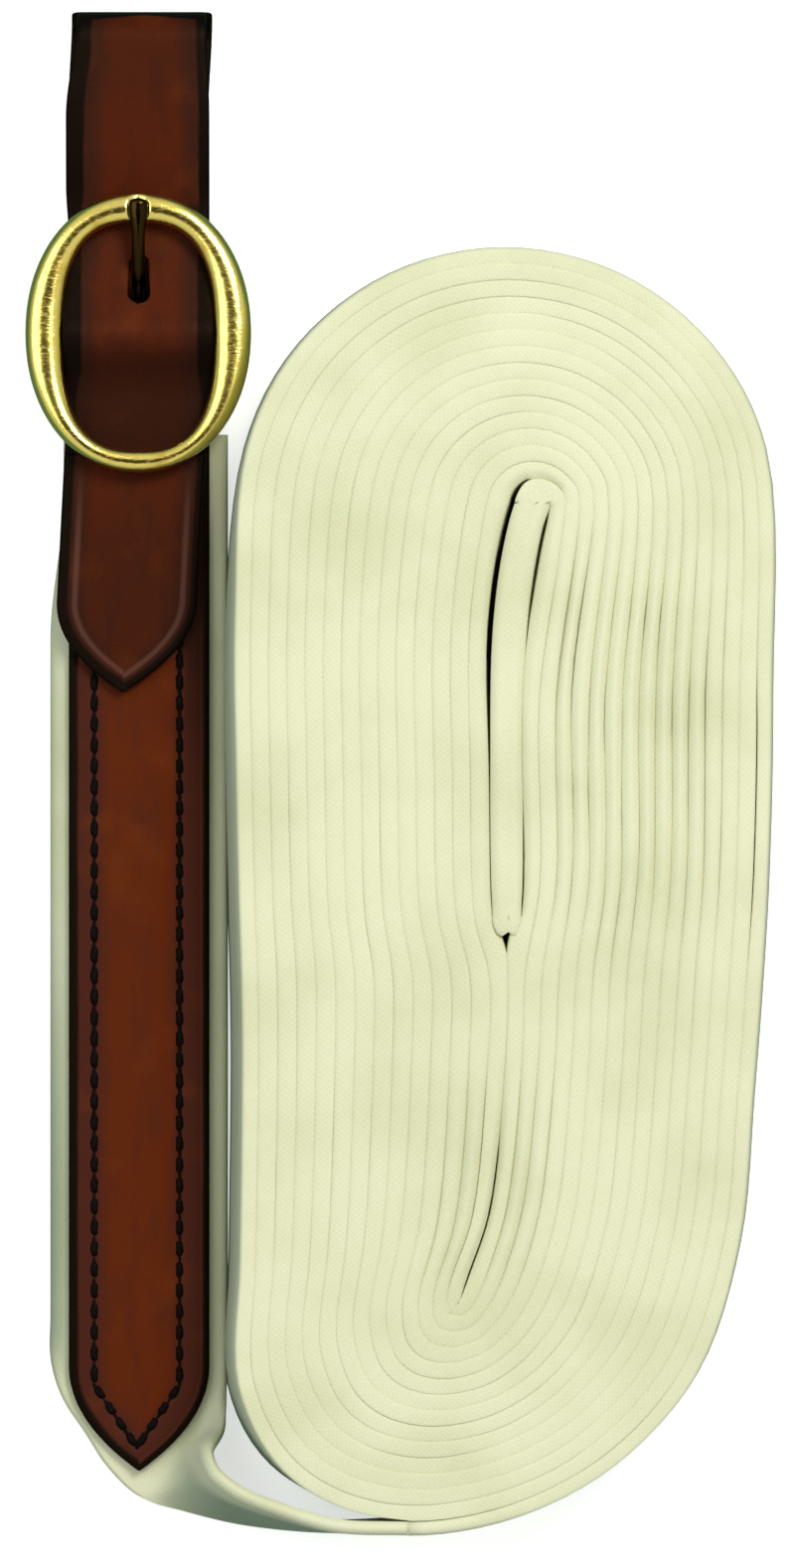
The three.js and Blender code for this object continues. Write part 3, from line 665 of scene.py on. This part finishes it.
def web_lead():
    """From under the buckle straight down, then a quarter twist onto the outside of the roll."""
    rows, columns = 90, 40
    left = [station[0] for station in LEAD_STATIONS]
    right = [station[1] for station in LEAD_STATIONS]
    cups = [station[2] for station in LEAD_STATIONS]
    across = np.linspace(0, 1, columns + 1)
    grid = []
    for i in range(rows + 1):
        share = i / rows
        a, b = catmull(left, share), catmull(right, share)
        cup = np.interp(share * (len(cups) - 1), range(len(cups)), cups)
        line = a + np.outer(across, b - a)
        line[:, 2] = a[2] + (b[2] - a[2]) * across**cup
        grid.append(line)
    straight = []
    for y in np.arange(WEB_END_Y, -98, -1.5):
        line = grid[0].copy()
        line[:, 1] = y
        line[:, 0] += 2.4 * ease(y, 24, 50) * (1 - across) ** 2
        straight.append(line)
    grid = np.array(straight + grid)
    beyond_ply = np.clip((np.abs(across - 0.5) * WEB_WIDTH - STRAP_HALF) / 3.2, 0, 1)
    flat_run = 1 - ease(-grid[:, :, 1], 100, 114)
    droop = np.where(across < 0.5, 2.1, 1.0)
    grid[:, :, 2] -= droop * flat_run * beyond_ply**1.6

    along = np.gradient(grid, axis=0)
    sideways = np.gradient(grid, axis=1)
    normal = np.cross(along, sideways)
    normal /= np.linalg.norm(normal, axis=2, keepdims=True)
    width_from_edge = np.minimum(across, 1 - across) * WEB_WIDTH
    rounding = 1.0
    inside = np.clip(width_from_edge / rounding, 0, 1)
    half = (WEB_THICK / 2) * np.sqrt(np.clip(1 - (1 - inside) ** 2, 0.06, 1))
    over = grid + normal * half[None, :, None]
    under = grid - normal * half[None, :, None]
    rings = np.concatenate([over, under[:, ::-1]], axis=1)
    # painted shade: the left strip beside the leather, stronger towards the twist, and the lower outer
    # face of the standing twist, both turned from the light
    near_edge = 1 - ease(across * WEB_WIDTH, 1.8, 4.2)
    left_strip = (0.62 - 0.42 * ease(grid[:, :, 1], -75, -5)) * near_edge * flat_run
    standing_face = 0.7 * ease(grid[:, :, 0], -46, -28) * (1 - ease(grid[:, :, 0], -14, 1))
    standing_face *= (1 - ease(across, 0.7, 0.92)) * (1 - flat_run)
    soil = left_strip + standing_face
    lead = ring_mesh("cotton_web_lead", rings, soil=np.concatenate([soil, soil[:, ::-1]], axis=1))
    dress(lead, cotton)
    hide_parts("web_lead")
    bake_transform(lead)


# ---------------------------------------------------------------- leather
STITCH_PITCH = 3.8
STITCH_PLAN = [
    (-8.1, 56), (-8.1, -110.5), (-0.4, -121.8), (7.3, -110.5), (7.3, 56),
]


def pointed_half(y, tip, shoulder):
    """Half width of a strap with an ogive point, at each y."""
    share = np.linspace(0, 1, 200)
    fullness = shoulder + 0.53 * (tip - shoulder)
    heights = (1 - share) ** 2 * shoulder + 2 * (1 - share) * share * fullness + share**2 * tip
    widths = STRAP_HALF * (1 - share**2)
    return np.interp(y, heights[::-1], widths[::-1])


def from_stitches(x, y):
    """Distance from the stitch line to each point."""
    nearest = np.full(np.shape(x), 1e3)
    for (x0, y0), (x1, y1) in zip(STITCH_PLAN, STITCH_PLAN[1:]):
        run = np.array((x1 - x0, y1 - y0))
        t = np.clip(((x - x0) * run[0] + (y - y0) * run[1]) / (run @ run), 0, 1)
        nearest = np.minimum(nearest, np.hypot(x - x0 - t * run[0], y - y0 - t * run[1]))
    return nearest


LEFT_RIM_SHADE = 0.5  # the black rim is this much wider on the left: painted shade on the side away from the light
EDGE_STEPS = [0, 0.06, 0.2, 0.4, 0.7, 1.1, 1.5, 1.8, 2.1, 2.5, *np.arange(3.0, 12.4, 0.42)]


def strap(name, line, thickness, half_widths, outer_relief, drift=None, bevel=0.55):
    """A leather strap along a side-view line of (y, z) points, centred on the leather's middle.

    outer_relief(x, y, edge, row) is how far the outer face is sunk at each point.
    """
    shares = 1 - np.array(EDGE_STEPS) / STRAP_HALF
    across = np.r_[-shares, 0, shares[::-1]]
    along = tangents(line)
    normal = np.stack([-along[:, 1], along[:, 0]], axis=1)
    steps = np.linalg.norm(np.gradient(line, axis=0), axis=1)
    slope = np.abs(np.gradient(half_widths) / np.maximum(steps, 1e-6))
    # painted shade that widens the black rim: where the buckle frame shades the strap's edges, a little
    # above y 96, and a dark band over the fold's crest
    rim_widening = 1.5 * ease(line[:, 0], 64, 74) * (1 - ease(line[:, 0], 92, 102)) * on_front(line)
    rim_widening += 0.5 * ease(line[:, 0], 96, 106) + 12 * ease(line[:, 0], 135.0, 136.0)
    # more painted shade on the left edges, the side away from the light, above y 96
    left_more = LEFT_RIM_SHADE + 0.8 * ease(line[:, 0], 96, 106) * (1 - 0.6 * ease(line[:, 0], 128, 134))
    rings, edges = [], []
    for i, (point, half) in enumerate(zip(line, half_widths)):
        x = across * half
        edge = (half - np.abs(x)) / math.hypot(1, slope[i])
        corner = np.clip(1 - edge / bevel, 0, 1)
        drop = bevel * (1 - np.sqrt(1 - corner**2)) * min(1, half / 2)
        outer = thickness / 2 - drop - outer_relief(x, point[0], edge, i)
        inner = (-thickness / 2 + drop)[::-2]
        shift = drift(point) if drift else 0
        for offsets, places in ((outer, x), (inner, x[::-2])):
            y = point[0] + offsets * normal[i, 0]
            z = point[1] + offsets * normal[i, 1]
            rings.append(np.stack([places + LEATHER_X + shift, y, z], axis=1))
        rim_dye_and_shade = edge - left_more[i] * (x < 0) - rim_widening[i]
        edges += [rim_dye_and_shade, rim_dye_and_shade[::-2]]
    paired = [np.vstack(rings[k:k + 2]) for k in range(0, len(rings), 2)]
    points = np.vstack(paired)
    front = np.repeat(on_front(line), len(paired[0]))
    # dark: painted shade on the front run, and the billet's painted shadow on the tab
    dark = np.where(front, front_run_darkening(points[:, 1]), billet_shadow(points[:, 0] - LEATHER_X, points[:, 1]))
    polished = front * (1 - ease(points[:, 1], 40, 58))
    return ring_mesh(name, paired, edge=np.concatenate(edges), dark=dark, polished=polished)


def front_run_darkening(y):
    """How much darker the strap's front run is: painted shade below the buckle's crest, where the strap
    slopes away from the light, and darker above y 112 towards the fold and on the billet below y 56.
    """
    below_crest = ease(y, 54, 60) * (1 - ease(y, 72, 80))
    return 0.95 * below_crest + 0.3 * ease(y, 112, 126) + 0.45 * (1 - ease(y, 40, 56))


def billet_shadow(x, y):
    """How much darker the tab is beside the billet's right side: a painted shadow of the billet on the
    tab's right margin.
    """
    return 0.85 * ease(y, -4, 22) * ease(x, 6.5, 9.5)


def on_front(line):
    """Which points of the strap's side view are on its front run, not on the back ply or the tab."""
    return line[:, 1] > front_run_from_z


def creased(edge, at=1.75, width=0.32, depth=0.16):
    return depth * np.exp(-(((edge - at) / width) ** 2))


def stitched(x, y):
    """A soft groove along the stitches, deeper at every hole."""
    away = from_stitches(x, y)
    puckered = 0.1 * (0.5 + 0.5 * np.cos(2 * np.pi * (56 - y) / STITCH_PITCH))
    return (0.26 + puckered) * np.exp(-((away / 0.62) ** 2))


def front_tab():
    wrap = arc(BAR_Y, BAR_Z, chape_arc, CREST_LEAVES, -90, 40)
    rise = smooth([(67, tab_mid), (70.5, tab_mid + 0.12), (73.6, tab_mid + 1), wrap[0]], 24)[:-1]
    line = resample([(TAB_TIP_Y + TIP_INSET, tab_mid), *rise, *wrap, (TURN_BACK_Y, turn_back_mid)], 0.5)
    front = np.arange(len(line)) < np.argmax(line[:, 0])
    half = np.where(front, pointed_half(line[:, 0], TAB_TIP_Y, TAB_SHOULDER_Y), STRAP_HALF)

    def relief(x, y, edge, row):
        uneven = 0.05 * wobble(y * 0.03, 3.1, 0.4)
        return (creased(edge) + stitched(x, y) * (y < STITCHED_TO_Y)) * front[row] + uneven

    tab = strap("leather_tab", line, TAB_THICK, half, relief)
    (low, high), half_slot = TONGUE_SLOT_Y, TONGUE_SLOT_HALF
    outline = [(-half_slot, low), (half_slot, low), (half_slot, high), (-half_slot, high)]
    slot = prism(outline, -5, ABOVE_ALL)
    combine(tab, slot, "DIFFERENCE")
    dress(tab, tab_leather, "loop_end")
    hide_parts("front_tab")


ABOVE_ALL = 40  # higher than any piece


def prism(outline, low, high):
    """A vertical cutter on a plan outline, about the leather's middle."""
    flat = np.array(outline, float) + (LEATHER_X, 0)
    rings = [np.c_[flat, np.full(len(flat), z)] for z in (low, high)]
    return ring_mesh("cutter", rings)


TOP_BAR_REACH = 23.3  # from the buckle's centre bar to its top bar


def front_run(seam_y):
    """Side view of the strap's front run, from the fold down to the seam under the lower bar."""
    top_bar = BAR_Y + TOP_BAR_REACH
    down = smooth([
        (fold_y - 2, loop_front_mid), (120, loop_front_mid - 0.1), (111, loop_front_mid - 1.2),
        (top_bar + 1, under_top_bar), (98, under_top_bar + 0.05), (94, under_top_bar + 0.5),
        (89.5, under_top_bar + 1.9), (85.3, under_top_bar + 3.6),
    ], 90)
    crest = arc(BAR_Y, BAR_Z, crest_arc, 60, CREST_LEAVES, 24)
    level = smooth([crest[-1], (72.5, billet_mid + 0.9), (69, billet_mid + 0.1), (65, billet_mid)], 30)
    return [*down, *crest, *level[1:], np.array((seam_y, billet_mid))]


SEAM_Y = 57.4  # under the buckle's lower bar


def front_relief(edge, y):
    """The strap's outer face from the fold to the billet: creased and a little uneven."""
    return creased(edge) + abs(0.06 * wobble(y * 0.04, 1.7, 0.2))


def drift_of(point):
    """Sideways shift: the fold is slightly askew and the billet leans to the left below the buckle."""
    y = point[0]
    fold = ease(y, 118, 137)
    askew = 0.5 * fold - 0.25 * ease(y, 96, 106) * (1 - fold)
    if point[1] < front_run_from_z:
        return askew
    in_buckle = 0.12 * ease(y, 64, 72) * (1 - ease(y, 92, 100))
    return askew - in_buckle - max(0, BILLET_DRIFT_FROM_Y - y) * BILLET_DRIFT


def loop_strap():
    fold = arc(fold_y, back_mid + fold_arc, fold_arc, -90, 90, 40)
    line = resample([(BACK_TIP_Y + TIP_INSET, back_mid), *fold, *front_run(SEAM_Y - 0.02)], 0.62)
    back = np.arange(len(line)) < np.argmax(line[:, 0])
    y = line[:, 0]
    in_buckle = ease(y, 62, 70) * (1 - ease(y, 92, 100))
    swell = 0.95 * in_buckle + 0.25 * ease(y, 96, 106) - 1.3 * ease(y, 118, 137)
    half = np.where(back, pointed_half(y, BACK_TIP_Y, TAB_SHOULDER_Y), STRAP_HALF + swell)

    def relief(x, y, edge, row):
        return stitched(x, y) * 1.6 * (y < STITCHED_TO_Y) if back[row] else front_relief(edge, y)

    loop = strap("leather_loop", line, STRAP_THICK, half, relief, drift_of)
    reach = arc(0, 0, HOLE_RADIUS, 180, 360, 12)
    low_end = [p + (0, HOLE_Y[0] + HOLE_RADIUS) for p in reach]
    high_end = [(0, HOLE_Y[1] - HOLE_RADIUS) - p * (0.8, 1) for p in reach]
    combine(loop, prism(low_end + high_end, under_top_bar - STRAP_THICK, ABOVE_ALL), "DIFFERENCE")
    dress(loop, strap_leather, "loop_end")
    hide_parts("loop_strap")


def billet():
    line = resample([(SEAM_Y, billet_mid), (BILLET_TIP_Y + TIP_INSET, billet_mid)], 0.45)
    half = pointed_half(line[:, 0], BILLET_TIP_Y, BILLET_SHOULDER_Y)

    def relief(x, y, edge, row):
        return front_relief(edge, y)

    tail = strap("leather_billet", line, STRAP_THICK, half, relief, drift_of)
    dress(tail, strap_leather)
    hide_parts("billet_end")
    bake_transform(tail)


THREAD_HALF = (0.78, 0.45)  # half width and half height


def stitching(name, node, top, holes):
    """One thread of the lock stitch, at height top on each stitch and at height holes between them."""
    samples = 14
    points = []
    for first, second in zip(STITCH_PLAN, STITCH_PLAN[1:]):
        a, b = np.array(first), np.array(second)
        stitches = round(np.linalg.norm(b - a) / STITCH_PITCH)
        for k in range(stitches * samples):
            share = k / (stitches * samples)
            phase = (k % samples) / samples
            lift = np.clip((math.sin(math.pi * phase) - 0.55) / 0.35, 0, 1) ** 0.6
            points.append((*(a + share * (b - a)), holes + (top - holes) * lift))
    path = np.array(points) + (LEATHER_X, 0, 0)
    along = tangents(path)
    up = np.array((0, 0, 1))
    side = np.cross(along, up)
    side /= np.linalg.norm(side, axis=1, keepdims=True)
    over = np.cross(side, along)
    turns = np.arange(8) * np.pi / 4
    rings = []
    for i, point in enumerate(path):
        twisted = 1 + 0.1 * np.cos(2 * turns - i * 0.9)
        rings.append(point + np.outer(THREAD_HALF[0] * np.cos(turns) * twisted, side[i])
                     + np.outer(THREAD_HALF[1] * np.sin(turns) * twisted, over[i]))
    thread = ring_mesh(name, rings)
    dress(thread, dark_thread, "loop_end")
    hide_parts(node)


# ---------------------------------------------------------------- buckle
OUTER = (20.35, 25.3, 2.1, 0.0)  # half width, half length, power and shift of the outline
INNER = (13.6, 20.6, 2.7, -0.7)
FRAME_HEIGHT = 4.5
FRAME_LIFT = 1.2
NOTCH_RADIUS, NOTCH_DEPTH = 2.4, 1.0
bar_offset = (OUTER[1] + INNER[1]) / 2
top_bar_z = under_top_bar + STRAP_THICK / 2 + GAP + FRAME_HEIGHT / 2
low_bar_z = BILLET_HIGH + GAP + FRAME_LIFT + FRAME_HEIGHT / 2
frame_tilt = -math.asin((low_bar_z - top_bar_z) / (2 * bar_offset))
frame_drop = ((low_bar_z + top_bar_z) / 2 - BAR_Z) / math.cos(frame_tilt)
top_bar_y = BAR_Y + bar_offset * math.cos(frame_tilt) - frame_drop * math.sin(frame_tilt)
ABOUT_BAR = Vector(joints["buckle_tilt"]["pos_m"])


def square_oval(size, angle):
    half_x, half_y, power, shift = size
    bend = [math.copysign(abs(v) ** (2 / power), v) for v in (math.cos(angle), math.sin(angle))]
    return np.array((half_x * bend[0], half_y * bend[1] + shift, 0))


def tilt_frame(piece):
    """Turns a piece drawn about the centre bar to the frame's tilt."""
    about = Matrix.Translation(ABOUT_BAR)
    piece.data.transform(about @ Matrix.Rotation(frame_tilt, 4, "X") @ about.inverted())


def buckle_frame():
    steps, sides = 300, 28
    section = oval(0.5, 0.5, sides)
    section = np.sign(section) * 0.5 * (2 * np.abs(section)) ** 0.86
    rings = []
    for i in range(steps):
        angle = 2 * math.pi * i / steps
        outer, inner = square_oval(OUTER, angle), square_oval(INNER, angle)
        middle, across = (outer + inner) / 2, outer - inner
        ring = middle + np.outer(section[:, 0], across)
        height = section[:, 1] * FRAME_HEIGHT
        reach = np.clip(NOTCH_RADIUS**2 - ring[:, 0] ** 2, 0, None)
        seat = FRAME_HEIGHT / 2 + NOTCH_RADIUS - NOTCH_DEPTH - np.sqrt(reach)
        in_notch = (ring[:, 1] > 0) & (reach > 0)
        ring[:, 2] = frame_drop + np.where(in_notch, np.minimum(height, seat), height)
        rings.append(ring)
    buckle = ring_mesh("brass_buckle", rings, closed=True, origin=ABOUT_BAR)
    post_x = INNER[0] + BAR_RADIUS
    corners = [(-post_x, frame_drop), (-post_x, 1.4), (-post_x + 0.5, 0.4), (-post_x + 1.4, 0),
               (post_x - 1.4, 0), (post_x - 0.5, 0.4), (post_x, 1.4), (post_x, frame_drop)]
    path = resample([(x, 0, z) for x, z in corners], 0.5)
    along = tangents(path)
    side = np.array((0, 1, 0))
    over = np.cross(along, side)
    shape = oval(BAR_RADIUS, BAR_RADIUS, 24)
    bar_rings = [p + np.outer(shape[:, 0], side) + np.outer(shape[:, 1], o) for p, o in zip(path, over)]
    bar = ring_mesh("cutter", bar_rings, origin=ABOUT_BAR)
    combine(buckle, bar, "UNION")
    tilt_frame(buckle)
    sharpen(buckle, 40)
    dress(buckle, brass, "buckle")
    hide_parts("buckle_frame")


def buckle_tongue():
    """A flat eye round the centre bar and a shank that rises through the strap to the notch."""
    width, tip_width, half_height = 2.4, 3.4, 1.0
    inner, outer = BAR_RADIUS + GAP, BAR_RADIUS + GAP + 1.1
    middle, wall = (inner + outer) / 2, (outer - inner) / 2
    eye_rings = []
    for a in np.arange(72) * 2 * math.pi / 72:
        reach = np.array((0, math.cos(a), math.sin(a)))
        shape = oval(1, 1, 20)
        shape = np.sign(shape) * np.abs(shape) ** 0.5
        eye_rings.append(reach * middle + np.outer(shape[:, 0] * wall, reach)
                         + np.outer(shape[:, 1] * tip_width / 2, (1, 0, 0)))
    far = np.full((len(eye_rings), 20), 20.0)
    eye = ring_mesh("brass_tongue", eye_rings, closed=True, origin=ABOUT_BAR, edge=far)
    tip_z = top_bar_z + FRAME_HEIGHT / 2 - NOTCH_DEPTH + GAP + half_height
    line = resample(smooth([
        (BAR_Y + 2.9, BAR_Z + 0.1), (BAR_Y + 6, BAR_Z + 0.4), (BAR_Y + 9, BAR_Z + 1.3),
        (BAR_Y + 12.2, BAR_Z + 3.3), (BAR_Y + 16, BAR_Z + 5.2), (top_bar_y - 2.5, tip_z),
        (top_bar_y + 1.4, tip_z),
    ], 80), 0.4) - (BAR_Y, BAR_Z)
    along = tangents(line)
    rings, from_tip = [], []
    for i, (y, z) in enumerate(line):
        to_tip = np.linalg.norm(line[-1] - line[i])
        spread_tip = 1 - float(ease(to_tip, 2.5, 6.5))
        blunt = math.sqrt(max(1 - max(0, 1 - to_tip / 0.9) ** 2, 0.05))
        half_width = (width + (tip_width - width) * spread_tip) / 2 * blunt
        shape = oval(half_height * blunt, half_width, 20)
        normal = np.array((0, -along[i, 1], along[i, 0]))
        rings.append(np.array((0, y, z)) + np.outer(shape[:, 0], normal)
                     + np.outer(shape[:, 1], (1, 0, 0)))
        from_tip.append(np.full(20, to_tip))
    shank = ring_mesh("cutter", rings, origin=ABOUT_BAR, edge=from_tip)
    tilt_frame(eye)
    combine(eye, shank, "UNION")
    sharpen(eye, 40)
    dress(eye, shank_shaded_brass, "tongue")
    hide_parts("buckle_tongue")


def floor():
    mesh = bpy.data.meshes.new("floor")
    half = 6
    corners = [(-half, -half, 0), (half, -half, 0), (half, half, 0), (-half, half, 0)]
    mesh.from_pydata(corners, [], [(0, 1, 2, 3)])
    mesh.materials.append(floor_material())
    plane = bpy.data.objects.new("floor", mesh)
    plane.location.z = -0.0002
    plane.visible_diffuse = False  # the studio's dull lower half lights the undersides instead
    plane.visible_glossy = False
    bpy.context.scene.collection.objects.link(plane)


make_camera()
make_world()
make_light("key", (0.45, 0.65, 1.2), 0.5, 12, (1.0, 0.98, 0.88))
make_light("fill", (-0.75, 0.35, 1.1), 0.8, 4, (0.9, 1.0, 0.93))
floor()

loop_strap()
web_roll()
web_lead()
front_tab()
billet()
stitching("thread_front", "front_stitching", tab_top - 0.22, tab_top - 0.62)
stitching("thread_back", "back_stitching", 0.52, 1.2)
buckle_frame()
buckle_tongue()
end_thread = frame["nodes"]["end_stitching"].data.materials
end_thread.clear()
end_thread.append(dark_thread)
